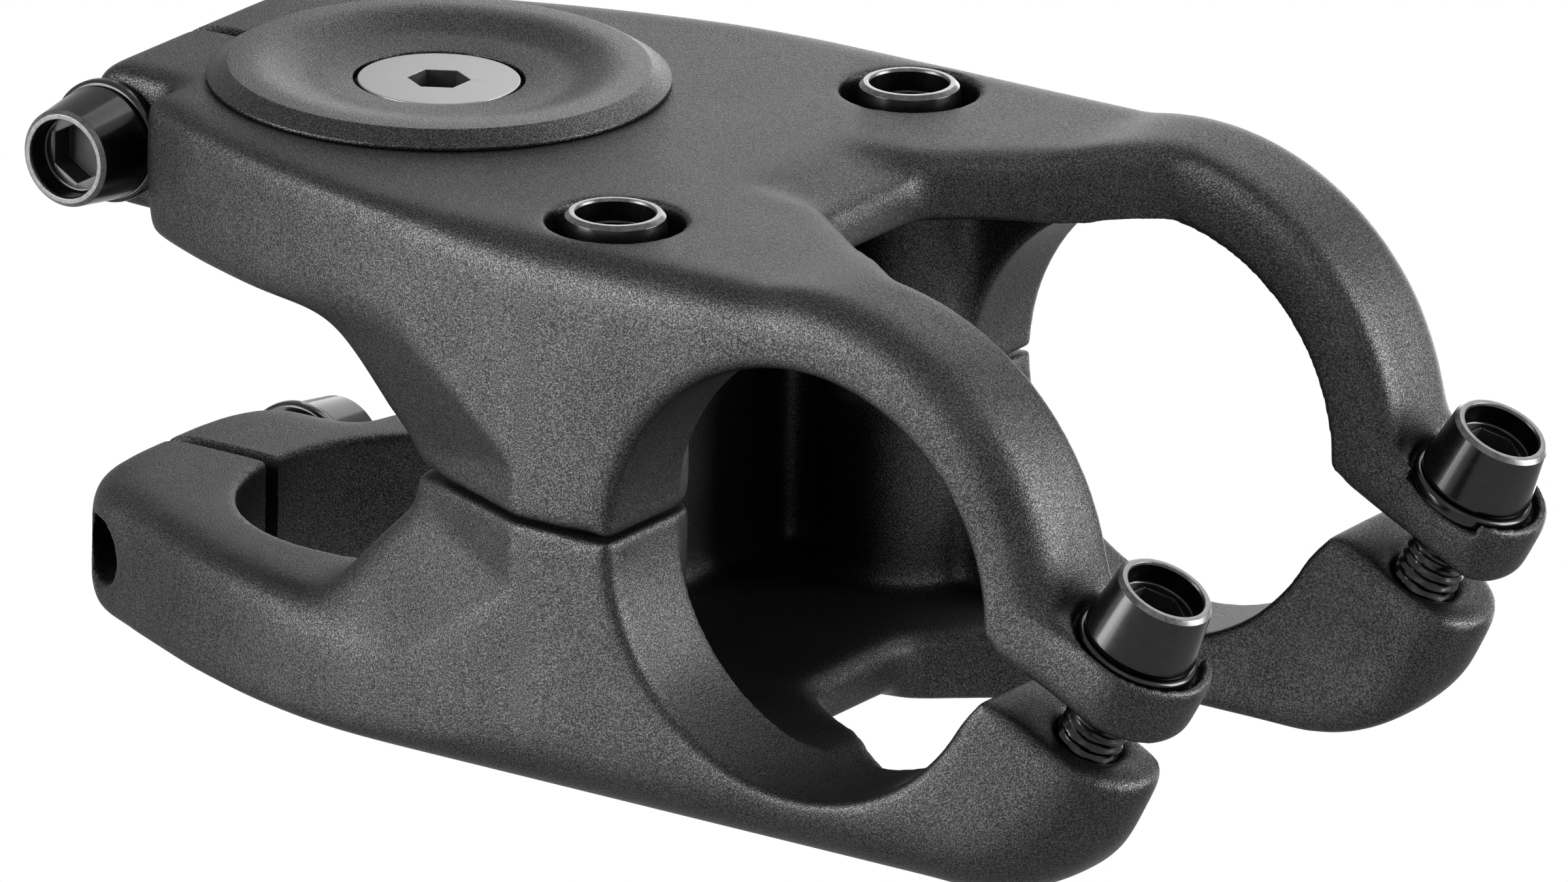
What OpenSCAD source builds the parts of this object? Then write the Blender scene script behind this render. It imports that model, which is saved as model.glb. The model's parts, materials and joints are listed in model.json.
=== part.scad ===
// Two-piece handlebar stem: an upper and a lower half clamp the bar, each half
// carries one slotted steerer ring, and a dished cap closes the steerer.
// +X points forward to the bar, +Y is the left side, +Z runs up the steerer.

/* [Clamps] */
// Distance from the steerer axis to the bar axis
stem_length = 50; // [45:1:60]
// Diameter of the handlebar
bar_d = 31.8; // [30:0.1:32.5]
// Diameter of the steerer tube
steerer_d = 28.6; // [27:0.1:29.5]
// Height of the two halves together on the steerer
stack_h = 41.8; // [41:0.1:45]
// Mean height of the steerer rings
ring_h = 10.4; // [9.5:0.1:11.5]
// Outer radius of the steerer rings
ring_r = 21.2; // [20.9:0.1:22.5]
// Distance from the steerer axis to the rear end
rear_x = 24.6; // [24:0.1:26]
// Radius of the round corners behind each ring
rear_r = 10; // [9:0.1:10.5]
// Half of the distance between the centres of those corners
rear_y = 5; // [4:0.1:6]
// Radius of the rear ends of the deck and the floor, seen from the side
rear_fall = 6; // [5:0.1:7]
// Width of the slot behind each ring
slot_w = 1.6; // [1.2:0.1:2.5]
// How far the steerer bore is relieved between the rings
bore_relief = 0.5; // [0.3:0.1:0.8]

/* [Body] */
// Width across the bar clamp
body_w = 55; // [54:0.5:60]
// Where the flanks become straight, from the steerer axis
flank_x = 30; // [28:0.5:32]
// How far the deck and the floor reach inside the bar radius, over the inner pocket
pocket_drop = 0.3; // [0.2:0.1:0.8]
// Gap between the halves at the split
split_gap = 0.3; // [0.2:0.05:0.6]
// How far the arms swell past the deck over the bar
arm_swell = 0.6; // [0.3:0.1:0.9]
// Rounding of the upper outer edges
edge_r = 3; // [2:0.1:4]
// Rounding of the lower outer edges
floor_r = 5; // [3:0.1:6]
// Half width of the space between the two arms
arm_inner_y = 17.8; // [17:0.1:18.5]
// Half width of the square end of the notch in the deck
notch_end_y = 6.2; // [5:0.1:8]
// Position of the square end of the notch
notch_x = 37.8; // [36.5:0.1:40]
// Length of the slanted sides of the notch, along X
notch_slant = 14.2; // [12:0.1:16]
// Length of the ramp from the deck into the notch
ramp_length = 6.8; // [5:0.1:8]
// Depth of the ramp where it meets the notch
ramp_depth = 1.4; // [0.8:0.1:2]
// Rear wall of the inner pocket, from the steerer axis
pocket_x = 18.6; // [18:0.1:20]
// Size of the chamfer on the edges of the bores
bore_chamfer = 0.6; // [0.3:0.1:0.8]

/* [Steerer window] */
// How far the window lies below the middle, which makes the lower ring the thinner one
window_drop = 0.6; // [0:0.1:0.8]
// Forward end of the window where it passes through
window_x = 13.4; // [12:0.1:14]
// Forward end of the window where it flares into the flanks
window_flare_x = 26; // [24:0.5:27]
// How far the flare widens the window up and down
window_flare_h = 2.6; // [1.5:0.1:3.5]
// Depth of the flare into each flank
window_flare_y = 5.4; // [4:0.1:6.5]

/* [Front lips] */
// Lean of the front bolts away from the steerer axis
front_lean = 26.5; // [25:0.5:29]
// Distance from the bar axis forward to the front bolt seats
front_seat_reach = 25.3; // [24.8:0.1:25.8]
// Height of the front bolt seats relative to the bar axis
front_seat_z = -1.2; // [-1.6:0.1:-0.8]
// Distance of the front bolts from the sides of the body
front_bolt_inset = 5.6; // [5.4:0.1:5.7]
// Thickness of the upper lip under the bolt seat
lip_t = 4; // [3.5:0.1:4.5]
// Gap between the upper and the lower lip
lip_gap = 3.4; // [2.5:0.1:4]
// Radius of the round lip ends
lip_r = 5.9; // [5.8:0.1:6.3]
// Angle below the bar axis where the lower lip leaves the bar
relief_angle = 40; // [36:1:44]
// Length of the straight rise from there to the tip of the lower lip
relief_length = 6.4; // [5.5:0.1:6.6]
// Radius of the lower nose, seen from the side
nose_r = 15; // [14.5:0.1:16]

/* [Fasteners] */
// Thread diameter of the clamp bolts
bolt_d = 5; // [5:0.1:5.2]
// Diameter of a bolt head at its base
head_d = 8.5; // [8:0.1:8.8]
// Diameter of a bolt head at its rim
rim_d = 7.3; // [7:0.1:8]
// Height of a bolt head
head_h = 5; // [4.5:0.1:5.5]
// Width of the hexagon socket across its flats
socket_af = 4; // [3:0.5:4.5]
// Depth of the hexagon socket, from the rim
socket_depth = 3.6; // [3:0.1:4]
// Diameter of the round mouth above the hexagon
mouth_d = 5.8; // [5.6:0.1:6]
// Depth of the round mouth
mouth_depth = 1.8; // [1:0.1:2.2]
// Outer diameter of a washer
washer_d = 9.2; // [9:0.1:9.4]
// Thickness of a washer
washer_t = 1.1; // [0.8:0.1:1.4]
// Depth of the shallow recess round each front washer
recess_depth = 1.2; // [0.8:0.1:1.5]
// Length of the front bolts under their heads
front_bolt_len = 16; // [14:0.5:17]
// Length of the deck bolts under their heads
deck_bolt_len = 25; // [22:0.5:27]
// Length of the pinch bolts under their heads
pinch_bolt_len = 20; // [18:0.5:22]
// Position of the deck bolts, from the steerer axis
deck_bolt_x = 28.4; // [28:0.1:28.8]
// Distance of the deck bolts from the sides of the body
deck_bolt_inset = 8.7; // [8.4:0.1:9]
// How far the rims of the deck bolts stand above the deck
deck_bolt_proud = 0.6; // [0:0.1:1]
// Radius of the columns that take the deck bolts
column_r = 5.6; // [5.5:0.1:6]
// Position of the pinch bolts behind the steerer axis
pinch_x = 20.5; // [20:0.1:21]
// Distance of the pinch bolt seats from the middle plane
pinch_seat_y = 11.9; // [11:0.1:12.2]

/* [Top cap] */
// Diameter of the cap at its base
cap_d = 33.8; // [33:0.1:35]
// Height of the upright edge at the base of the cap
cap_edge = 0.3; // [0.2:0.05:0.5]
// Diameter of the flat rim on the cap
cap_rim_d = 30.8; // [30:0.1:31.5]
// Height of the cap above the deck
cap_h = 1.2; // [1:0.1:1.6]
// Diameter of the dish in the cap
cap_dish_d = 24.6; // [23:0.1:26]
// Depth of the dish in the cap
cap_dish = 1.2; // [0.8:0.1:1.3]
// Width of the sloping wall of the dish
cap_dish_slope = 2; // [1.5:0.1:2.5]
// Depth of the spigot under the cap, inside the steerer ring
cap_spigot = 4; // [3.5:0.1:6]
// Diameter of the cap bolt head
cap_head_d = 11.8; // [11:0.1:12.2]
// Thread diameter of the cap bolt
cap_bolt_d = 6; // [5:0.1:6]
// Depth of the hexagon socket in the cap bolt
cap_socket_depth = 2.4; // [2:0.1:2.6]
// Length of the cap bolt
cap_bolt_len = 25; // [20:0.5:28]

/* [Hidden] */
$fn = 96;
// Clearances: threads, bolt shanks in plain holes, heads in recesses, cap on deck, cap bolt in cap
thread_gap = 0.05;
shank_gap = 0.3;
head_gap = 0.45;
cap_gap = 0.05;
cap_bolt_gap = 0.15;
// Overshoot of cutting shapes past the faces that they cut
over = 1;
// How far the rounded rear ends start outside the faces that they join
rear_ease = 0.3;
// Set-backs that keep the bore relief clear of the window, the pocket clear of the bar bore and of the arms
relief_setback = 0.6;
pocket_setback = 2;
pocket_side = 0.6;
// Half height of the flat forward end of the window, and the thickness of the slices that its flare spans
window_tip = 2;
slice_t = 0.01;
// Where the underside of the upper lip starts before the bar, and the flat tip of the lower lip
lip_root = 1.5;
horn_tip = 1.2;
// Lower lip: how far it starts inside the bar bore, how far ahead of the bar its nose is centred,
// and how far the nose swells below the floor
relief_sink = 0.3;
nose_ahead = 13;
nose_swell = 0.1;
// Cap details: wall of the steerer round the spigot, rise of the dish floor, step round the bolt head
steerer_wall = 2;
dish_rise = 0.3;
seat_step = 0.6;
// Cap bolt details: how far its head sits below the dish, and its upright edge
head_sink = 0.4;
head_edge = 0.3;
mid_z = stack_h / 2;
half_h = stack_h / 2;
half_w = body_w / 2;
bar_r = bar_d / 2;
steerer_r = steerer_d / 2;
arm_r = half_h + arm_swell;
front_seat_x = stem_length + front_seat_reach;
front_bolt_y = half_w - front_bolt_inset;
deck_bolt_y = half_w - deck_bolt_inset;
reach = stem_length + 2 * arm_r;
deck_z = stack_h;
pocket_h = bar_r - pocket_drop;
window_h = half_h - ring_h;
split = split_gap / 2;
recess_r = washer_d / 2 + head_gap;
spot_r = ring_h / 2 + head_gap;
thread_r = bolt_d / 2 + thread_gap;
shank_r = bolt_d / 2 + shank_gap;
pinch_z = half_h - ring_h / 2;
deck_seat_z = half_h + deck_bolt_proud - head_h - washer_t;
lip_slope = tan(front_lean);
nose_c = [stem_length + nose_ahead, nose_r - half_h - nose_swell];
rear_c = [rear_r - rear_x, rear_y];
rear_turn = atan2(rear_c[1], rear_c[0]) - acos((ring_r - rear_r) / norm(rear_c));
rear_arc_c = [rear_fall - rear_x - rear_ease, half_h - rear_fall + rear_ease];
flank_r = (flank_x * flank_x + half_w * half_w - ring_r * ring_r) / (2 * (half_w - ring_r));
flank_c = [flank_x, half_w - flank_r];
flank_turn = atan2(-flank_c[1], -flank_c[0]);

// Points along an arc, from angle a to angle b in n steps
function arc(c, r, a, b, n) = [for (i = [0:n]) c + r * [cos(a + (b - a) * i / n), sin(a + (b - a) * i / n)]];
function flip(points) = [for (i = [len(points) - 1:-1:0]) [points[i][0], -points[i][1]]];

// Height of the face under the upper lip (depth 0) or of one parallel to it, at a given x
function lip_z(x, depth) = front_seat_z - (x - front_seat_x) * lip_slope - depth / cos(front_lean);

// Frame of one front bolt: its seat at the origin, its axis along +Z
module at_front_bolt(side) {
  translate([front_seat_x, side * front_bolt_y, mid_z + front_seat_z]) rotate([0, front_lean, 0]) children();
}

// Frame of one deck bolt, seat at the origin
module at_deck_bolt(side) {
  translate([deck_bolt_x, side * deck_bolt_y, mid_z + deck_seat_z]) children();
}

// Frame of one pinch bolt, seat at the origin and its axis pointing out of the side it is fitted from
module at_pinch_bolt(side, level) {
  z = mid_z + level * pinch_z - window_drop / 2;
  translate([-pinch_x, side * pinch_seat_y, z]) rotate([-90 * side, 0, 0]) children();
}

// Extrudes an x-z outline along Y, with z counted from the bar axis
module along_y(half) {
  translate([0, half, mid_z]) rotate([90, 0, 0]) linear_extrude(2 * half) children();
}

// Outline of the body seen from above: round rear corners, steerer ring, swept flanks, straight sides
module plan() {
  side = concat(arc(rear_c, rear_r, 180, rear_turn, 6), arc([0, 0], ring_r, rear_turn, flank_turn, 2),
                arc(flank_c, flank_r, flank_turn, 90, 8));
  polygon(concat(side, [[reach + over, half_w], [reach + over, -half_w]], flip(side)));
}

// Straight block behind the bar, its long edges rounded
module block(end_x, edge) {
  corner = arc([half_w - edge, half_h - edge], edge, 0, 90, 5);
  right = concat(flip(corner), corner);
  translate([-rear_x - over, 0, mid_z]) rotate([90, 0, 90]) linear_extrude(end_x + rear_x + over)
    polygon(concat(right, [for (p = right) -p]));
}

// Drum across the body with rounded edges, about an axis given by its x and z
module drum(centre, r, edge) {
  corner = arc([r - edge, half_w - edge], edge, 0, 90, 5);
  translate([centre[0], 0, mid_z + centre[1]]) rotate([90, 0, 0]) rotate_extrude()
    polygon(concat([[0, -half_w]], flip(corner), corner, [[0, half_w]]));
}

module upper_blank() {
  lip_end = front_seat_x + lip_r + over;
  lip_start = stem_length + bar_r;
  low = lip_t + over;
  intersection() {
    translate([0, 0, -over]) linear_extrude(stack_h + 3 * over) plan();
    union() {
      block(stem_length, edge_r);
      drum([stem_length, 0], arm_r, edge_r);
      along_y(half_w)
        polygon([[lip_start, lip_z(lip_start, -recess_depth)], [lip_end, lip_z(lip_end, -recess_depth)],
                 [lip_end, lip_z(lip_end, low)], [lip_start, lip_z(lip_start, low)]]);
    }
    along_y(half_w + over) upper_side();
  }
}

module lower_blank() {
  intersection() {
    translate([0, 0, -2 * over]) linear_extrude(stack_h + 3 * over) plan();
    union() {
      block(nose_c[0], floor_r);
      drum(nose_c, nose_r, floor_r);
    }
    along_y(half_w + over) lower_side();
  }
}

// What each half keeps, seen from the side: the split behind the bar and the slanted lips before it
module upper_side() {
  top = half_h + 3 * over;
  end = reach + over;
  lip_start = stem_length + bar_r + lip_root;
  polygon(concat([[rear_arc_c[0] - rear_fall, split]], arc(rear_arc_c, rear_fall, 180, 90, 6),
                 [[end, top], [end, lip_z(end, lip_t)], [lip_start, lip_z(lip_start, lip_t)],
                  [stem_length + bar_r, split]]));
}

module lower_side() {
  depth = lip_t + lip_gap;
  bottom = -half_h - 3 * over;
  end = reach + over;
  start_r = bar_r - relief_sink;
  relief = [stem_length + start_r * cos(relief_angle), -start_r * sin(relief_angle)];
  horn = relief + relief_length * [sin(relief_angle), cos(relief_angle)];
  horn_x = horn[0] + horn_tip;
  polygon(concat([[rear_arc_c[0] - rear_fall, -split]], flip(arc(rear_arc_c, rear_fall, 90, 180, 6)),
                 [[end, bottom], [end, lip_z(end, depth)], [horn_x, lip_z(horn_x, depth)], horn, relief,
                  [stem_length, -split]]));
}

// Space in front of the lips, which leaves their ends round
module lip_front() {
  for (side = [-1, 1]) {
    at_front_bolt(side) difference() {
      translate([0, -front_bolt_y - over, -stack_h]) cube([reach, 2 * front_bolt_y, 2 * stack_h]);
      translate([0, 0, -stack_h - over]) cylinder(r = lip_r, h = 2 * stack_h + 2 * over);
    }
  }
}

// Opening between the two arms: a square end, slanted sides and a straight mouth
module notch() {
  translate([0, 0, -over]) linear_extrude(stack_h + 2 * over)
    polygon([[notch_x, -notch_end_y], [notch_x + notch_slant, -arm_inner_y], [reach + over, -arm_inner_y],
             [reach + over, arm_inner_y], [notch_x + notch_slant, arm_inner_y], [notch_x, notch_end_y]]);
}

// Ramp sunk into the deck and the floor at the end of the notch
module ramps() {
  slope = atan(ramp_depth / ramp_length);
  for (level = [0, 1]) translate([notch_x - ramp_length, -notch_end_y, mid_z]) mirror([0, 0, level])
    translate([0, 0, half_h]) rotate([0, slope, 0]) cube([2 * ramp_length, 2 * notch_end_y, 2 * over]);
}

// Pocket behind the bar, with the columns of the deck bolts standing in it
module pocket() {
  difference() {
    pocket_end = stem_length - pocket_setback;
    along_y(arm_inner_y + pocket_side)
      polygon([[pocket_x, -pocket_h], [pocket_x, pocket_h], [pocket_end, pocket_h], [pocket_end, -pocket_h]]);
    for (side = [-1, 1]) {
      translate([deck_bolt_x, side * deck_bolt_y, 0]) cylinder(r = column_r, h = stack_h);
    }
  }
}

// Window between the rings: straight through in the middle, flared into both flanks
module window_outline(x, h) {
  slant = window_h - window_tip;
  polygon([[-rear_x - over, -h], [x - slant, -h], [x, -h + slant], [x, h - slant], [x - slant, h],
           [-rear_x - over, h]]);
}

module window() {
  translate([0, 0, -window_drop]) {
    along_y(half_w + over) window_outline(window_x, window_h);
    for (side = [-1, 1]) hull() {
      flare_slice(side, -over);
      flare_slice(side, window_flare_y + over);
    }
  }
}

// Thin slice of the flare, a given way out from the depth where the flare starts
module flare_slice(side, way) {
  share = way / window_flare_y;
  x = window_x + share * (window_flare_x - window_x);
  translate([0, side * (half_w - window_flare_y + way), 0]) along_y(slice_t)
    window_outline(x, window_h + share * window_flare_h);
}

// Chamfered mouth of a bore that runs up from the origin
module bore_mouth(r) {
  translate([0, 0, -over]) cylinder(r1 = r + bore_chamfer + over, r2 = r - over, h = bore_chamfer + 2 * over);
}

module steerer_bore() {
  relief_z = ring_h + relief_setback;
  translate([0, 0, -over]) cylinder(r = steerer_r, h = stack_h + 2 * over);
  translate([0, 0, relief_z]) cylinder(r = steerer_r + bore_relief, h = stack_h - 2 * relief_z);
  translate([-rear_x - over, -slot_w / 2, -over]) cube([rear_x + over, slot_w, stack_h + 2 * over]);
}

module bar_bore() {
  translate([stem_length, half_w + over, mid_z]) rotate([90, 0, 0])
    cylinder(r = bar_r, h = body_w + 2 * over);
  for (side = [-1, 1]) {
    translate([stem_length, side * half_w, mid_z]) rotate([90 * side, 0, 0]) bore_mouth(bar_r);
  }
}

module pinch_holes(side, level) {
  at_pinch_bolt(side, level) {
    cylinder(r = spot_r, h = half_w);
    translate([0, 0, -pinch_seat_y]) cylinder(r = shank_r, h = pinch_seat_y + over);
    translate([0, 0, -pinch_seat_y - half_w]) cylinder(r = thread_r, h = half_w);
  }
}

module shared_cuts() {
  notch();
  pocket();
  window();
  steerer_bore();
  bar_bore();
  ramps();
  lip_front();
}

module upper_half() {
  color([0.13, 0.13, 0.14]) difference() {
    upper_blank();
    shared_cuts();
    pinch_holes(-1, 1);
    for (side = [-1, 1]) {
      at_deck_bolt(side) {
        cylinder(r = recess_r, h = half_h);
        translate([0, 0, -half_h]) cylinder(r = shank_r, h = half_h + over);
      }
      at_front_bolt(side) {
        cylinder(r = recess_r, h = half_h);
        translate([0, 0, -half_h]) cylinder(r = shank_r, h = half_h + over);
      }
    }
  }
}

module lower_half() {
  color([0.13, 0.13, 0.14]) difference() {
    lower_blank();
    shared_cuts();
    pinch_holes(1, -1);
    for (side = [-1, 1]) {
      at_deck_bolt(side) translate([0, 0, -washer_t - deck_bolt_len])
        cylinder(r = thread_r, h = deck_bolt_len + over);
      at_front_bolt(side) translate([0, 0, -front_bolt_len - over])
        cylinder(r = thread_r, h = front_bolt_len + over);
    }
  }
}

// Hexagon socket sunk from the origin
module hexagon(depth) {
  translate([0, 0, -depth]) cylinder(r = socket_af / 2 / cos(30), h = depth + over, $fn = 6);
}

// Clamp bolt with its washer seat at the origin and its axis along +Z
module clamp_bolt(length) {
  color([0.05, 0.05, 0.06]) difference() {
    union() {
      translate([0, 0, washer_t]) cylinder(r1 = head_d / 2, r2 = rim_d / 2, h = head_h);
      translate([0, 0, washer_t - length]) cylinder(r = bolt_d / 2, h = length + over);
    }
    translate([0, 0, washer_t + head_h]) {
      hexagon(socket_depth);
      translate([0, 0, -mouth_depth]) cylinder(r = mouth_d / 2, h = mouth_depth + over);
    }
  }
}

module washer() {
  color([0.08, 0.08, 0.09]) difference() {
    cylinder(r = washer_d / 2, h = washer_t);
    translate([0, 0, -over]) cylinder(r = shank_r, h = washer_t + 2 * over);
  }
}

module top_cap() {
  hole_r = cap_bolt_d / 2 + cap_bolt_gap;
  seat_r = cap_head_d / 2 + cap_bolt_gap;
  spigot_r = steerer_r - steerer_wall;
  floor_z = cap_h - cap_dish;
  seat_z = floor_z - seat_step;
  color([0.14, 0.14, 0.15]) translate([0, 0, deck_z + cap_gap]) rotate_extrude()
    polygon([[hole_r, -cap_spigot], [spigot_r, -cap_spigot], [spigot_r, 0], [cap_d / 2, 0],
             [cap_d / 2, cap_edge], [cap_rim_d / 2, cap_h], [cap_dish_d / 2, cap_h],
             [cap_dish_d / 2 - cap_dish_slope, floor_z + dish_rise], [seat_r + seat_step, floor_z],
             [seat_r, seat_z], [hole_r, seat_z - seat_r + hole_r]]);
}

module top_cap_bolt() {
  head_r = cap_head_d / 2;
  shank = cap_bolt_d / 2;
  top_z = cap_h - cap_dish - head_sink;
  color([0.75, 0.76, 0.77]) translate([0, 0, deck_z + cap_gap + top_z]) difference() {
    rotate_extrude()
      polygon([[0, -cap_bolt_len], [shank, -cap_bolt_len], [shank, -head_r + shank], [head_r, -head_edge],
               [head_r, 0], [0, 0]]);
    hexagon(cap_socket_depth);
  }
}

upper_half();
lower_half();
top_cap();
top_cap_bolt();
at_deck_bolt(1) clamp_bolt(deck_bolt_len);  // deck_bolt_left
at_deck_bolt(-1) clamp_bolt(deck_bolt_len);  // deck_bolt_right
at_deck_bolt(1) washer();  // deck_washer_left
at_deck_bolt(-1) washer();  // deck_washer_right
at_front_bolt(1) clamp_bolt(front_bolt_len);  // front_bolt_left
at_front_bolt(-1) clamp_bolt(front_bolt_len);  // front_bolt_right
at_front_bolt(1) washer();  // front_washer_left
at_front_bolt(-1) washer();  // front_washer_right
at_pinch_bolt(-1, 1) clamp_bolt(pinch_bolt_len);  // upper_pinch_bolt
at_pinch_bolt(-1, 1) washer();  // upper_pinch_washer
at_pinch_bolt(1, -1) clamp_bolt(pinch_bolt_len);  // lower_pinch_bolt
at_pinch_bolt(1, -1) washer();  // lower_pinch_washer
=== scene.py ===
import json
import math

import bpy
from mathutils import Matrix, Vector

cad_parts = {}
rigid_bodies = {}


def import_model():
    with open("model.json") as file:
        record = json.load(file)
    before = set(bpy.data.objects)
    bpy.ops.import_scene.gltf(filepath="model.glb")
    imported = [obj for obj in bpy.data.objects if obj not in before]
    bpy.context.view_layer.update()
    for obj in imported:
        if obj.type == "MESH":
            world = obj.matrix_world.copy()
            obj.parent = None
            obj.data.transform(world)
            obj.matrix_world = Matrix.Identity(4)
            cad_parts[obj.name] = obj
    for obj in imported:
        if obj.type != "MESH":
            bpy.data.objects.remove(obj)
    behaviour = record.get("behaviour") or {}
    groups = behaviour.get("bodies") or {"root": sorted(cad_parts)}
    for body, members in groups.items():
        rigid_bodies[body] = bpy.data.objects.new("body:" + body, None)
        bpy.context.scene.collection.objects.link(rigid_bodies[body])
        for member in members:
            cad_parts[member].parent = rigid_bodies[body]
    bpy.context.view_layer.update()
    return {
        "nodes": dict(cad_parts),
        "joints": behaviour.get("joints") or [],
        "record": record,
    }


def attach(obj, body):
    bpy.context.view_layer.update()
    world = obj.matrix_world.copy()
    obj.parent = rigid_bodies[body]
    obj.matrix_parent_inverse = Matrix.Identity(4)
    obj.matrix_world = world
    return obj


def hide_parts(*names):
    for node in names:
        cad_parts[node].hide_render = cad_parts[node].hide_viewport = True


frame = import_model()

mm = 0.001
nodes = frame["nodes"]
bodies = frame["record"]["behaviour"]["bodies"]
mounts = {mount["name"]: mount for mount in frame["record"]["mounts"]}
joints = {joint["name"]: joint for joint in frame["joints"]}
clampTurns = {
    name: joint for name, joint in joints.items()
    if name.endswith("_turn") and name != "cap_bolt_turn"}


# small helpers for working by hand

def switchMode(mode):
    bpy.ops.object.mode_set(mode=mode)


def deselectAll():
    if bpy.context.mode != "OBJECT":
        switchMode("OBJECT")
    bpy.ops.object.select_all(action="DESELECT")


def pick(piece):
    deselectAll()
    piece.select_set(True)
    bpy.context.view_layer.objects.active = piece


def addModifier(piece, kind, **settings):
    pick(piece)
    modifier = piece.modifiers.new(kind.title(), kind)
    for key, value in settings.items():
        setattr(modifier, key, value)
    bpy.ops.object.modifier_apply(modifier=modifier.name)


def cleanMesh(piece, distance=1e-7):
    pick(piece)
    switchMode("EDIT")
    bpy.ops.mesh.select_all(action="SELECT")
    bpy.ops.mesh.remove_doubles(threshold=distance)
    bpy.ops.mesh.normals_make_consistent(inside=False)
    switchMode("OBJECT")


def roundedProfile(corners, steps=5):
    # corners are (radius from the axis, height, rounding), all in mm
    points = []
    for index, (r, z, rounding) in enumerate(corners):
        here = Vector((r, z))
        if rounding == 0:
            points.append(here)
            continue
        back = (Vector(corners[index - 1][:2]) - here).normalized()
        ahead = (Vector(corners[(index + 1) % len(corners)][:2]) - here).normalized()
        half = math.acos(max(-1, min(1, back.dot(ahead)))) / 2
        reach = rounding / math.tan(half)
        centre = here + (back + ahead).normalized() * rounding / math.sin(half)
        start = here + back * reach - centre
        end = here + ahead * reach - centre
        turn = start.angle_signed(end)
        for step in range(steps + 1):
            points.append(centre + Matrix.Rotation(-turn * step / steps, 2) @ start)
    return points


def spinPiece(name, corners, steps=96):
    points = roundedProfile(corners)
    deselectAll()
    bpy.ops.mesh.primitive_circle_add(vertices=len(points), radius=mm)
    piece = bpy.context.object
    piece.name = name
    for vertex, point in zip(piece.data.vertices, points):
        vertex.co = (point.x * mm, 0, point.y * mm)
    switchMode("EDIT")
    bpy.ops.mesh.select_all(action="SELECT")
    bpy.ops.mesh.spin(steps=steps, angle=2 * math.pi, center=(0, 0, 0), axis=(0, 0, 1))
    switchMode("OBJECT")
    cleanMesh(piece)
    return piece


def boxCutter(middle, size):
    deselectAll()
    bpy.ops.mesh.primitive_cube_add(size=1, location=middle)
    cutter = bpy.context.object
    cutter.scale = size
    bpy.ops.object.transform_apply(location=True, rotation=True, scale=True)
    return cutter


def hexRadius(settings):
    return settings["hexAf"] / 2 / math.cos(math.pi / 6)


def hexCutter(settings, depth, middle):
    deselectAll()
    bpy.ops.mesh.primitive_cylinder_add(
        vertices=6, radius=hexRadius(settings) * mm, depth=depth * mm, location=(0, 0, middle * mm))
    return bpy.context.object


def cutWith(piece, cutter):
    addModifier(piece, "BOOLEAN", operation="DIFFERENCE", object=cutter, solver="EXACT")
    bpy.data.objects.remove(cutter)


def bevelEdges(piece, settings):
    addModifier(
        piece, "BEVEL", width=settings["hexBevel"] * mm, segments=2,
        limit_method="ANGLE", angle_limit=math.radians(settings["bevelAngle"]))


def joinInto(piece, other):
    pick(piece)
    other.select_set(True)
    bpy.ops.object.join()


def smoothFaces(piece, degrees):
    pick(piece)
    bpy.ops.object.shade_smooth_by_angle(angle=math.radians(degrees))


def flattenFaces(piece):
    # lets the large faces keep their own direction beside small bevels
    addModifier(piece, "WEIGHTED_NORMAL", keep_sharp=True, weight=100)


def standOn(piece, seat, axis):
    # turns a piece made along +Z so that it stands on its seat along the bolt axis
    turn = Vector((0, 0, 1)).rotation_difference(Vector(axis)).to_matrix().to_4x4()
    piece.data.transform(Matrix.Translation(Vector(seat)) @ turn)


def paint(piece, *finishes):
    piece.data.materials.clear()
    for finish in finishes:
        piece.data.materials.append(finish)


def pieceName(nodeName):
    first, *others = nodeName.split("_")
    return first + "".join(word.title() for word in others)


# shader maths by expressions

class Socket:
    def __init__(self, tree, link):
        self.tree = tree
        self.link = link

    def node(self, kind, settings=None, **inputs):
        made = self.tree.nodes.new(kind)
        for key, value in (settings or {}).items():
            if key == "stops":
                while len(made.color_ramp.elements) < len(value):
                    made.color_ramp.elements.new(0.5)
                for element, (place, level) in zip(made.color_ramp.elements, value):
                    element.position = place
                    element.color = (level, level, level, 1)
            else:
                setattr(made, key, value)
        for key, value in inputs.items():
            # n0, n1 and so on stand for inputs that share one name
            numbered = key[0] == "n" and key[1:].isdigit()
            socket = made.inputs[int(key[1:]) if numbered else key]
            if isinstance(value, Socket):
                self.tree.links.new(value.link, socket)
            else:
                socket.default_value = value
        return made

    def out(self, made, name=0):
        return Socket(self.tree, made.outputs[name])

    def maths(self, operation, a, b):
        return self.out(self.node("ShaderNodeMath", {"operation": operation}, n0=a, n1=b))

    def __add__(self, other):
        return self.maths("ADD", self, other)

    def __radd__(self, other):
        return self.maths("ADD", other, self)

    def __rsub__(self, other):
        return self.maths("SUBTRACT", other, self)

    def __mul__(self, other):
        return self.maths("MULTIPLY", self, other)


def newMaterial(name):
    material = bpy.data.materials.new(name)
    material.use_nodes = True
    tree = material.node_tree
    coords = Socket(tree, tree.nodes.new("ShaderNodeTexCoord").outputs["Object"])
    return material, tree.nodes["Principled BSDF"], coords


def noise(coords, scale, detail=2.0, rough=0.5):
    made = coords.node("ShaderNodeTexNoise", Vector=coords, Scale=scale, Detail=detail, Roughness=rough)
    return coords.out(made)


def plug(shader, name, value):
    shader.id_data.links.new(value.link, shader.inputs[name])


def mixedColour(shader, share, settings):
    made = share.node(
        "ShaderNodeMix", {"data_type": "RGBA"},
        n0=share, n6=(*settings["dark"], 1), n7=(*settings["light"], 1))
    plug(shader, "Base Color", share.out(made, 2))


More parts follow.
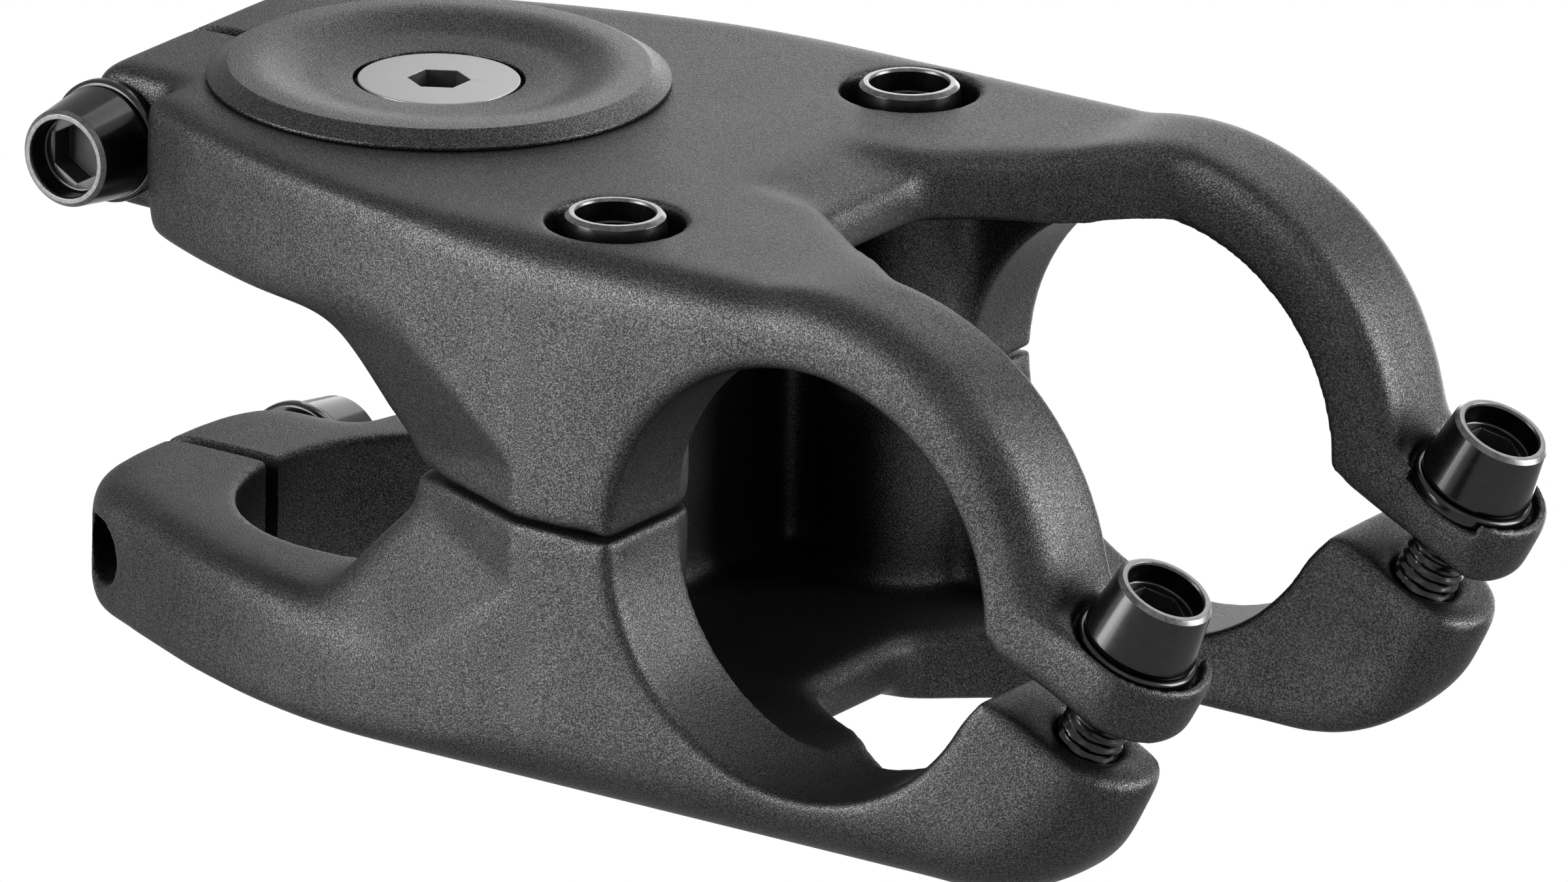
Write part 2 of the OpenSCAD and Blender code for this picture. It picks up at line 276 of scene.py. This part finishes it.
def mixedRoughness(shader, share, settings):
    low, high = settings["roughness"]
    plug(shader, "Roughness", low + share * (high - low))


def fineBump(shader, height, settings):
    bump = height.node(
        "ShaderNodeBump", None,
        Strength=settings["bump"], Distance=settings["grainHeight"], Height=height)
    plug(shader, "Normal", height.out(bump))


def asMetal(shader, settings):
    shader.inputs["Metallic"].default_value = settings["metal"]
    if "edgeTint" in settings:
        shader.inputs["Specular Tint"].default_value = (*settings["edgeTint"], 1)


# finishes: scales are per metre, noise is (detail, roughness)

blastedSettings = {
    "grainScale": 8500,     # about 0.1 mm a grain
    "grainNoise": (2.0, 0.6),
    "cloudScale": 160,
    "cloudNoise": (3.0, 0.5),
    "sparkle": ((0.42, 0.0), (0.76, 1.0)),
    "sparkleShare": 0.8,
    "dark": (0.005, 0.005, 0.0051),
    "light": (0.108, 0.108, 0.110),
    "edgeTint": (0.53, 0.53, 0.53),
    "roughness": (0.32, 0.42),
    "bump": 0.8,
    "grainHeight": 0.06 * mm,
    "metal": 0.9,
}


def blastedBlack(name, settings):
    material, shader, coords = newMaterial(name)
    grain = noise(coords, settings["grainScale"], *settings["grainNoise"])
    cloud = noise(coords, settings["cloudScale"], *settings["cloudNoise"])
    sparkle = grain.out(grain.node("ShaderNodeValToRGB", {"stops": settings["sparkle"]}, Fac=grain))
    share = settings["sparkleShare"]
    mixedColour(shader, sparkle * share + cloud * (1 - share), settings)
    mixedRoughness(shader, 1 - sparkle, settings)
    asMetal(shader, settings)
    fineBump(shader, grain, settings)
    return material


glossSettings = {
    "cloudScale": 1800,
    "cloudNoise": (4.0, 0.6),
    "dark": (0.010, 0.010, 0.0102),
    "light": (0.022, 0.022, 0.0223),
    "edgeTint": (0.45, 0.45, 0.45),
    "roughness": (0.22, 0.34),
    "bump": 0.3,
    "grainHeight": 0.01 * mm,
    "metal": 0.9,
    "coat": 0.3,
    "coatRoughness": 0.12,
}


def glossBlack(name, settings):
    material, shader, coords = newMaterial(name)
    cloud = noise(coords, settings["cloudScale"], *settings["cloudNoise"])
    mixedColour(shader, cloud, settings)
    mixedRoughness(shader, cloud, settings)
    asMetal(shader, settings)
    shader.inputs["Coat Weight"].default_value = settings["coat"]
    shader.inputs["Coat Roughness"].default_value = settings["coatRoughness"]
    fineBump(shader, cloud, settings)
    return material


wornSettings = {
    "wearScale": 2400,
    "wearNoise": (3.0, 0.65),
    "dark": (0.025, 0.025, 0.025),
    "light": (0.13, 0.13, 0.132),
    "roughness": (0.26, 0.42),
    "bump": 0.5,
    "grainHeight": 0.02 * mm,
    "metal": 1.0,
}


def wornRim(name, settings):
    # bare metal where the key has rubbed the black off the edge of a socket
    material, shader, coords = newMaterial(name)
    wear = noise(coords, settings["wearScale"], *settings["wearNoise"])
    mixedColour(shader, wear, settings)
    mixedRoughness(shader, wear, settings)
    asMetal(shader, settings)
    fineBump(shader, wear, settings)
    return material


shadeSettings = {
    "scale": 1500,
    "dark": (0.012, 0.012, 0.012),
    "light": (0.035, 0.035, 0.035),
    "roughness": 0.55,
    "metal": 0.4,
}


def socketShade(name, settings):
    # painted shade: a darker colour in the bottom of a hexagon socket, where shade falls
    material, shader, coords = newMaterial(name)
    mixedColour(shader, noise(coords, settings["scale"]), settings)
    shader.inputs["Roughness"].default_value = settings["roughness"]
    asMetal(shader, settings)
    return material


silverSettings = {
    "ringScale": 2600,
    "distortion": 0.6,
    "detail": 2.0,
    "dark": (0.20, 0.20, 0.204),
    "light": (0.30, 0.30, 0.304),
    "edgeTint": (0.5, 0.5, 0.5),
    "roughness": (0.30, 0.42),
    "metal": 1.0,
}


def turnedSilver(name, settings):
    # fine turning rings round the axis of the cap bolt
    material, shader, coords = newMaterial(name)
    rings = coords.node(
        "ShaderNodeTexWave", {"wave_type": "RINGS", "rings_direction": "Z"}, Vector=coords,
        Scale=settings["ringScale"], Distortion=settings["distortion"], Detail=settings["detail"])
    ring = coords.out(rings, 1)
    mixedColour(shader, ring, settings)
    mixedRoughness(shader, ring, settings)
    asMetal(shader, settings)
    return material


bodyFinish = blastedBlack("blastedBlackBody", blastedSettings)
capFinish = blastedBlack("blastedBlackCap", dict(blastedSettings, roughness=(0.20, 0.28)))
boltFinish = glossBlack("glossBlackBolt", glossSettings)
washerFinish = glossBlack("glossBlackWasher", dict(glossSettings, roughness=(0.2, 0.32)))
rimFinish = wornRim("wornRimMetal", wornSettings)
shadeFinish = socketShade("socketShade", shadeSettings)
silverFinish = turnedSilver("turnedSilverFace", silverSettings)
print("finishes made")


# the two machined halves: softened copies of the solids

halfSettings = {
    "mergeDistance": 1e-6,
    "voxel": 0.3 * mm,
    "smoothFactor": 0.5,
    "smoothAngle": 50,
    "softPasses": 130,     # rounds the free edges by about three millimetres
    "crispPasses": 10,     # only clears the grid marks near bores and seats
    "crispReach": 1.6 * mm,
    "crispShare": 0.25,    # the part of that reach that stays quite crisp
    "recessR": 5.05 * mm,
    "threadR": 2.55 * mm,
    "armsFrom": 22 * mm,   # forward of this the edges grow crisper
    "armsFull": 46 * mm,
    "armShare": 0.3,
    "innerFrom": 19 * mm,  # only on their outer edges
    "innerFull": 23 * mm,
    "flareX": (13 * mm, 17 * mm, 30 * mm, 36 * mm),     # where the window flares into the flanks
    "flareZ": (6.5 * mm, 9.5 * mm, 32.5 * mm, 35.5 * mm),
    "flareShare": 0.1,
    "noseFrom": 14 * mm,   # but the noses below this and the lips ahead stay soft
    "noseFull": 8 * mm,
    "lipFrom": 66 * mm,
    "lipFull": 71 * mm,
    "ringPasses": 160,     # more for the edges of the rings along the window
    "ringX": (11 * mm, 15 * mm),
    "ringEdges": ((4 * mm, 7 * mm, 12 * mm, 15 * mm), (25 * mm, 28 * mm, 33 * mm, 36 * mm)),
    "mostTriangles": 190000,
    "slotX": -12 * mm,
    "slotHalf": 0.8 * mm,
    "slotBox": (40 * mm, 60 * mm),
    "wallReach": 0.01 * mm,
    "wallFacing": 0.99,
    "holeR": 3.2 * mm,
    "seatReach": 5.6 * mm,
    "seatBox": (20 * mm, 20 * mm, 13 * mm),
}


def boreDistance(co, settings):
    # how far a point is from the nearest machined bore or seat
    barX, _, barZ = mounts["handlebar_clamp"]["pos_m"]
    bar = Vector((co.x - barX, co.z - barZ)).length - mounts["handlebar_clamp"]["dims"]["r_mm"] * mm
    steerer = Vector((co.x, co.y)).length - mounts["steerer_clamp"]["dims"]["r_mm"] * mm
    found = [abs(bar), abs(steerer)]
    for name, joint in clampTurns.items():
        along = Vector(joint["axis"])
        away = co - Vector(joint["pos_m"])
        height = away.dot(along)
        radius = (away - along * height).length
        if "pinch" in name:
            found.append(abs(radius - settings["threadR"]))
        else:
            found.append(math.hypot(radius - settings["recessR"], min(0, height)))
    return min(found)


def clearShare(co, settings):
    return min(1, max(0, boreDistance(co, settings) / settings["crispReach"] - settings["crispShare"]))


def ramped(value, start, end):
    return min(1, max(0, (value - start) / (end - start)))


def within(value, bounds):
    # rises from the first bound to the second and falls from the third to the last
    return min(ramped(value, bounds[0], bounds[1]), ramped(value, bounds[3], bounds[2]))


def softShare(co, clear, settings):
    outer = ramped(abs(co.y), settings["innerFrom"], settings["innerFull"])
    forward = outer * ramped(co.x, settings["armsFrom"], settings["armsFull"])
    low = ramped(co.z, settings["noseFrom"], settings["noseFull"])
    lip = ramped(co.x, settings["lipFrom"], settings["lipFull"])
    flare = min(outer, within(co.x, settings["flareX"]), within(co.z, settings["flareZ"]))
    share = max(low, lip, 1 - forward * (1 - settings["armShare"]))
    return clear * share * (1 - flare * (1 - settings["flareShare"]))


def ringShare(co, clear, settings):
    behind = ramped(co.x, settings["ringX"][1], settings["ringX"][0])
    return clear * behind * max(within(co.z, edge) for edge in settings["ringEdges"])


def openSeat(piece, joint, settings):
    # mills the seat of a pinch bolt flat over the whole height of its ring
    width, depth, height = settings["seatBox"]
    x, y, z = joint["pos_m"]
    middle = (x + settings["seatReach"] - width / 2, y + joint["axis"][1] * depth / 2, z)
    cutWith(piece, boxCutter(middle, (width, depth, height)))


def bridgeLoops(piece, chosen):
    pick(piece)
    switchMode("EDIT")
    bpy.ops.mesh.select_mode(type="EDGE")
    bpy.ops.mesh.select_all(action="DESELECT")
    bpy.ops.mesh.select_non_manifold()
    switchMode("OBJECT")
    for edge in piece.data.edges:
        edge.select = edge.select and chosen(piece.data.vertices[edge.vertices[0]].co)
    switchMode("EDIT")
    bpy.ops.mesh.bridge_edge_loops()
    switchMode("OBJECT")


def closeSlot(piece, joint, settings):
    # bridges the slot of the ring, which is cut again once the edges are round
    pick(piece)
    switchMode("EDIT")
    bpy.ops.mesh.select_mode(type="FACE")
    bpy.ops.mesh.select_all(action="DESELECT")
    switchMode("OBJECT")
    for face in piece.data.polygons:
        near = abs(abs(face.center.y) - settings["slotHalf"]) < settings["wallReach"]
        facing = abs(face.normal.y) > settings["wallFacing"]
        face.select = face.center.x < settings["slotX"] and near and facing
    switchMode("EDIT")
    bpy.ops.mesh.delete(type="FACE")
    switchMode("OBJECT")
    x, _, z = joint["pos_m"]

    def inHole(co):
        return math.hypot(co.x - x, co.z - z) < settings["holeR"]

    bridgeLoops(piece, inHole)
    bridgeLoops(piece, lambda co: not inHole(co))
    cleanMesh(piece)


def cutSlot(piece, settings):
    length, height = settings["slotBox"]
    middle = (settings["slotX"] - length / 2, 0, 0)
    cutWith(piece, boxCutter(middle, (length, 2 * settings["slotHalf"], 2 * height)))


def smoothPasses(piece, passes, settings, group=""):
    addModifier(piece, "SMOOTH", factor=settings["smoothFactor"], iterations=passes, vertex_group=group)


def softHalf(name, nodeName, pinch, settings):
    piece = bpy.data.objects.new(name, nodes[nodeName].data.copy())
    bpy.context.scene.collection.objects.link(piece)
    cleanMesh(piece, settings["mergeDistance"])
    openSeat(piece, joints[pinch], settings)
    closeSlot(piece, joints[pinch], settings)
    addModifier(piece, "REMESH", mode="VOXEL", voxel_size=settings["voxel"])
    soft = piece.vertex_groups.new(name="softEdges")
    rings = piece.vertex_groups.new(name="ringEdges")
    for vertex in piece.data.vertices:
        clear = clearShare(vertex.co, settings)
        soft.add([vertex.index], softShare(vertex.co, clear, settings), "REPLACE")
        rings.add([vertex.index], ringShare(vertex.co, clear, settings), "REPLACE")
    smoothPasses(piece, settings["crispPasses"], settings)
    smoothPasses(piece, settings["softPasses"], settings, "softEdges")
    smoothPasses(piece, settings["ringPasses"], settings, "ringEdges")
    piece.vertex_groups.clear()
    triangles = 2 * len(piece.data.polygons)
    addModifier(piece, "DECIMATE", ratio=min(1, settings["mostTriangles"] / triangles))
    cutSlot(piece, settings)
    paint(piece, bodyFinish)
    smoothFaces(piece, settings["smoothAngle"])
    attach(piece, "stem_body")
    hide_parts(nodeName)
    print(name, len(piece.data.polygons), "faces")


softHalf("upperHalf", "upper_half", "upper_pinch_turn", halfSettings)
softHalf("lowerHalf", "lower_half", "lower_pinch_turn", halfSettings)


# clamp bolts: conical socket heads on threaded shanks, in mm above the seat

boltSettings = {
    "headR": 4.25, "headH": 5.0, "washerT": 1.1, "headLift": 0.02,
    "footInset": 0.1, "footRound": 0.2, "flankInset": 0.02, "flankRise": 0.4,
    "rimR": 3.65, "rimBevel": 0.3, "rimRound": 0.1,
    "mouthR": 2.9, "mouthDepth": 1.8, "mouthLip": 0.08, "mouthEdge": 0.2, "mouthRound": 0.2,
    "hexAf": 4.0, "hexDepth": 3.6, "hexBevel": 0.09, "bevelAngle": 50, "smoothAngle": 40,
    "shadeLift": 0.1,       # the socket's shade starts this far above the washer
    "threadR": 2.5, "threadDepth": 0.31, "pitch": 0.8, "neck": 0.6, "threadFade": 0.6,
    "tipFrom": 1.1, "tipRun": 1.0, "tipTaper": 0.45, "endGap": 0.02,
    "ringsPerTurn": 8, "around": 32,
}
boltLengths = {"deck": 25.0, "front": 16.0, "upper": 20.0, "lower": 20.0}


def threadedShank(name, settings, length):
    turns = (length - settings["neck"]) / settings["pitch"]
    rings = int(turns * settings["ringsPerTurn"])
    deselectAll()
    bpy.ops.mesh.primitive_grid_add(x_subdivisions=settings["around"], y_subdivisions=rings, size=2)
    shank = bpy.context.object
    shank.name = name
    top = settings["washerT"]
    tipStart = length - settings["tipFrom"]
    for vertex in shank.data.vertices:
        share = (vertex.co.x + 1) / 2
        drop = (1 - vertex.co.y) / 2 * (length - settings["endGap"])
        wave = abs(((drop / settings["pitch"] - share) % 1) * 2 - 1)
        fade = ramped(drop, settings["neck"], settings["neck"] + settings["threadFade"])
        tip = ramped(drop, tipStart, tipStart + settings["tipRun"])
        r = settings["threadR"] - settings["threadDepth"] * wave * fade - settings["tipTaper"] * tip
        angle = 2 * math.pi * share
        vertex.co = (r * mm * math.cos(angle), r * mm * math.sin(angle), (top - drop) * mm)
    pick(shank)
    switchMode("EDIT")
    bpy.ops.mesh.select_all(action="SELECT")
    bpy.ops.mesh.remove_doubles(threshold=1e-6)
    bpy.ops.mesh.select_all(action="DESELECT")
    bpy.ops.mesh.select_non_manifold()
    bpy.ops.mesh.fill_holes(sides=0)
    bpy.ops.mesh.select_all(action="SELECT")
    bpy.ops.mesh.normals_make_consistent(inside=False)
    switchMode("OBJECT")
    return shank


def socketHead(name, settings):
    base = settings["washerT"] + settings["headLift"]
    top = settings["washerT"] + settings["headH"]
    mouth = settings["mouthR"]
    floor = top - settings["mouthDepth"]
    bevel = settings["rimBevel"]
    footRound, rimRound = settings["footRound"], settings["rimRound"]
    head = spinPiece(name, [
        (0, base, 0), (settings["headR"] - settings["footInset"], base, footRound),
        (settings["headR"] - settings["flankInset"], base + settings["flankRise"], footRound),
        (settings["rimR"], top - bevel, rimRound), (settings["rimR"] - bevel, top, rimRound),
        (mouth + settings["mouthLip"], top, settings["mouthLip"]),
        (mouth, top - settings["mouthEdge"], rimRound),
        (mouth, floor, settings["mouthRound"]), (0, floor, 0)])
    depth = settings["hexDepth"]
    cutWith(head, hexCutter(settings, depth, top - depth / 2))
    bevelEdges(head, settings)
    return head


def clampBolt(nodeName, joint, settings):
    name = pieceName(nodeName)
    head = socketHead(name, settings)
    top = settings["washerT"] + settings["headH"]
    rimLevel = (top - settings["rimBevel"]) * mm
    shadeTop = (top - settings["mouthDepth"]) * mm
    shadeFoot = (settings["washerT"] + settings["shadeLift"]) * mm
    shadeR = hexRadius(settings) * mm
    # slot 1 is the worn metal of the rim, slot 2 the painted shade on the faces deep in the hexagon socket
    slots = []
    for face in head.data.polygons:
        x, y, z = face.center
        deep = math.hypot(x, y) < shadeR and shadeFoot < z < shadeTop
        slots.append(1 if z > rimLevel else 2 if deep else 0)
    joinInto(head, threadedShank(name + "Shank", settings, boltLengths[nodeName.split("_")[0]]))
    standOn(head, joint["pos_m"], joint["axis"])
    smoothFaces(head, settings["smoothAngle"])
    flattenFaces(head)
    paint(head, boltFinish, rimFinish, shadeFinish)
    for face, slot in zip(head.data.polygons, slots):
        face.material_index = slot
    return head


washerSettings = {
    "outerR": 4.6, "innerR": 2.8, "thick": 1.1, "rounding": 0.35, "innerRound": 0.1, "smoothAngle": 60,
}


def roundWasher(nodeName, joint, settings):
    edge, bore = settings["rounding"], settings["innerRound"]
    piece = spinPiece(pieceName(nodeName), [
        (settings["innerR"], 0, bore), (settings["outerR"], 0, edge),
        (settings["outerR"], settings["thick"], edge), (settings["innerR"], settings["thick"], bore)])
    standOn(piece, joint["pos_m"], joint["axis"])
    smoothFaces(piece, settings["smoothAngle"])
    paint(piece, washerFinish)
    return piece


for joint in clampTurns.values():
    boltNode = bodies[joint["child"]][0]
    washerNode = bodies[joint["parent"]][0]
    bolt = clampBolt(boltNode, joint, boltSettings)
    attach(bolt, joint["child"])
    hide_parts(boltNode)
    washer = roundWasher(washerNode, joint, washerSettings)
    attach(washer, joint["parent"])
    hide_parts(washerNode)
print("bolts and washers made")


# steerer cap: a dished disc with a countersunk silver bolt, in mm

capSettings = {
    "deck": 41.85, "baseR": 16.9, "baseRound": 0.1, "edgeLip": 0.3, "lipRound": 0.12,
    "rimR": 15.4, "rimRound": 0.25, "height": 1.2,
    "dishR": 13.0, "dishRun": 3.2, "dishFloor": 0.3, "dishEase": 8.0,
    "seatR": 6.1, "seatGap": 0.15, "seatLip": 0.05, "seatLipRound": 0.08, "seatDrop": 0.6, "seatRound": 0.05,
    "holeR": 3.15, "holeRound": 0.1, "spigotR": 12.3, "spigot": 4.0, "spigotRound": 0.3, "footRound": 0.2,
    "steps": 160, "smoothAngle": 30,
}


def dishedCap(settings):
    deck = settings["deck"]
    top = deck + settings["height"]
    foot = deck - settings["spigot"]
    mouth = settings["seatR"] + settings["seatGap"]
    seat = deck - settings["seatDrop"]
    hole = settings["holeR"]
    ease = settings["dishEase"]
    piece = spinPiece("steererCap", [
        (hole, foot, settings["footRound"]), (settings["spigotR"], foot, settings["spigotRound"]),
        (settings["spigotR"], deck, 0), (settings["baseR"], deck, settings["baseRound"]),
        (settings["baseR"], deck + settings["edgeLip"], settings["lipRound"]),
        (settings["rimR"], top, settings["rimRound"]), (settings["dishR"], top, ease),
        (settings["dishR"] - settings["dishRun"], deck + settings["dishFloor"], ease),
        (mouth, deck + settings["seatLip"], settings["seatLipRound"]),
        (mouth, seat, settings["seatRound"]),
        (hole, seat - mouth + hole, settings["holeRound"])], steps=settings["steps"])
    smoothFaces(piece, settings["smoothAngle"])
    paint(piece, capFinish)
    return piece


cap = dishedCap(capSettings)
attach(cap, "cap")
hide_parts("top_cap")

capBoltSettings = {
    "top": 41.85, "length": 25.4, "shankR": 3.0, "tip": 0.5, "coneFoot": 38.55, "coneRound": 0.3,
    "headR": 5.95, "headEdge": 0.75, "edgeRound": 0.08, "faceRound": 0.12,
    "hexAf": 4.0, "hexDepth": 2.8, "hexBevel": 0.12, "bevelAngle": 50,
    "shadeDrop": 0.2, "shadeBelow": 0.1, "steps": 128, "smoothAngle": 35,
}


def silverBolt(settings):
    top = settings["top"]
    end = top - settings["length"]
    shank, tip = settings["shankR"], settings["tip"]
    head = spinPiece("capBolt", [
        (0, end, 0), (shank - tip, end, 0), (shank, end + tip, 0),
        (shank, settings["coneFoot"], settings["coneRound"]),
        (settings["headR"], top - settings["headEdge"], settings["edgeRound"]),
        (settings["headR"], top, settings["faceRound"]), (0, top, 0)], steps=settings["steps"])
    cutWith(head, hexCutter(settings, settings["hexDepth"] * 2, top))
    bevelEdges(head, settings)
    smoothFaces(head, settings["smoothAngle"])
    flattenFaces(head)
    paint(head, silverFinish, shadeFinish)
    shadeTop = (top - settings["shadeDrop"]) * mm
    shadeFoot = (top - settings["hexDepth"] - settings["shadeBelow"]) * mm
    # the faces inside the hexagon socket get the painted shade
    for face in head.data.polygons:
        x, y, z = face.center
        inside = math.hypot(x, y) < hexRadius(settings) * mm
        face.material_index = int(inside and shadeFoot < z < shadeTop)
    return head


capBolt = silverBolt(capBoltSettings)
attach(capBolt, "cap_bolt")
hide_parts("top_cap_bolt")
print("cap made")


# studio: pale floor far below, soft boxes, and the camera at the photo's angle

stageSettings = {
    "floorZ": -0.30, "floorSize": 8.0, "floorColour": (0.30, 0.30, 0.30), "floorRoughness": 0.9,
    "white": 1.0, "worldLevel": 0.03,
}


def backgroundRays(tree):
    # the rays to which floor and world are white: the camera's, and those from metal and glass
    path = tree.nodes.new("ShaderNodeLightPath")
    camera, glossy, through = (
        Socket(tree, path.outputs[name])
        for name in ("Is Camera Ray", "Is Glossy Ray", "Is Transmission Ray"))
    return camera.maths("MAXIMUM", camera.maths("MAXIMUM", camera, glossy), through)


def paleFloor(settings):
    deselectAll()
    bpy.ops.mesh.primitive_plane_add(size=settings["floorSize"], location=(0, 0, settings["floorZ"]))
    floor = bpy.context.object
    floor.name = "paleFloor"
    material, shader, _ = newMaterial("paleFloorPaint")
    tree = material.node_tree
    shader.inputs["Base Color"].default_value = (*settings["floorColour"], 1)
    shader.inputs["Roughness"].default_value = settings["floorRoughness"]
    glow = tree.nodes.new("ShaderNodeEmission")
    glow.inputs["Strength"].default_value = settings["white"]
    mix = tree.nodes.new("ShaderNodeMixShader")
    tree.links.new(backgroundRays(tree).link, mix.inputs[0])
    tree.links.new(shader.outputs[0], mix.inputs[1])
    tree.links.new(glow.outputs[0], mix.inputs[2])
    tree.links.new(mix.outputs[0], tree.nodes["Material Output"].inputs[0])
    floor.data.materials.append(material)


def studioWorld(settings):
    world = bpy.data.worlds.new("studioWorld")
    bpy.context.scene.world = world
    world.use_nodes = True
    tree = world.node_tree
    back = tree.nodes["Background"]
    back.inputs["Color"].default_value = (1, 1, 1, 1)
    level = settings["worldLevel"]
    strength = level + backgroundRays(tree) * (settings["white"] - level)
    tree.links.new(strength.link, back.inputs["Strength"])


# each lamp is (azimuth, elevation, power), in degrees and watts
lampSettings = {"target": (0.03, 0, 0.02), "distance": 0.32, "size": 0.17}
lamps = {"right": (30, 15, 1.80), "left": (234, 15, 1.40), "leftLow": (230, -14, 0.45),
         "back": (115, 13, 0.34), "backHigh": (90, 42, 0.36), "backRight": (92, -8, 0.52),
         "frontFill": (315, 40, 0.08)}


def softBox(name, azimuth, elevation, power, settings):
    light = bpy.data.lights.new(name, "AREA")
    light.shape = "SQUARE"
    light.size = settings["size"]
    light.energy = power
    lamp = bpy.data.objects.new(name, light)
    lamp.visible_camera = False
    bpy.context.scene.collection.objects.link(lamp)
    turn, lift = math.radians(azimuth), math.radians(elevation)
    away = Vector((math.cos(turn) * math.cos(lift), math.sin(turn) * math.cos(lift), math.sin(lift)))
    place = Vector(settings["target"]) + away * settings["distance"]
    lamp.matrix_world = Matrix.Translation(place) @ away.to_track_quat("Z", "Y").to_matrix().to_4x4()


paleFloor(stageSettings)
studioWorld(stageSettings)
for lampName, (azimuth, elevation, power) in lamps.items():
    softBox(lampName + "Box", azimuth, elevation, power, lampSettings)

cameraSettings = {
    "azimuth": 33.79, "elevation": 18.83, "roll": 1.13, "distance": 2.0,
    "target": (0.03067, 0, 0.02046), "lens": 637.2, "sensor": 36, "clip": (0.05, 50),
}


def photoCamera(settings):
    azimuth, elevation, roll = (math.radians(settings[key]) for key in ("azimuth", "elevation", "roll"))
    flat = math.cos(elevation)
    back = Vector((math.sin(azimuth) * flat, -math.cos(azimuth) * flat, math.sin(elevation)))
    level = Vector((math.cos(azimuth), math.sin(azimuth), 0))
    upright = back.cross(level)
    right = level * math.cos(roll) + upright * math.sin(roll)
    up = upright * math.cos(roll) - level * math.sin(roll)
    camera = bpy.data.cameras.new("photoCamera")
    camera.lens = settings["lens"]
    camera.sensor_width = settings["sensor"]
    camera.sensor_fit = "HORIZONTAL"
    camera.clip_start, camera.clip_end = settings["clip"]
    holder = bpy.data.objects.new("photoCamera", camera)
    bpy.context.scene.collection.objects.link(holder)
    place = Vector(settings["target"]) + back * settings["distance"]
    turn = Matrix((right, up, back)).transposed().to_4x4()
    holder.matrix_world = Matrix.Translation(place) @ turn
    bpy.context.scene.camera = holder


photoCamera(cameraSettings)
bpy.context.scene.view_settings.view_transform = "Standard"
print("stage and camera set")
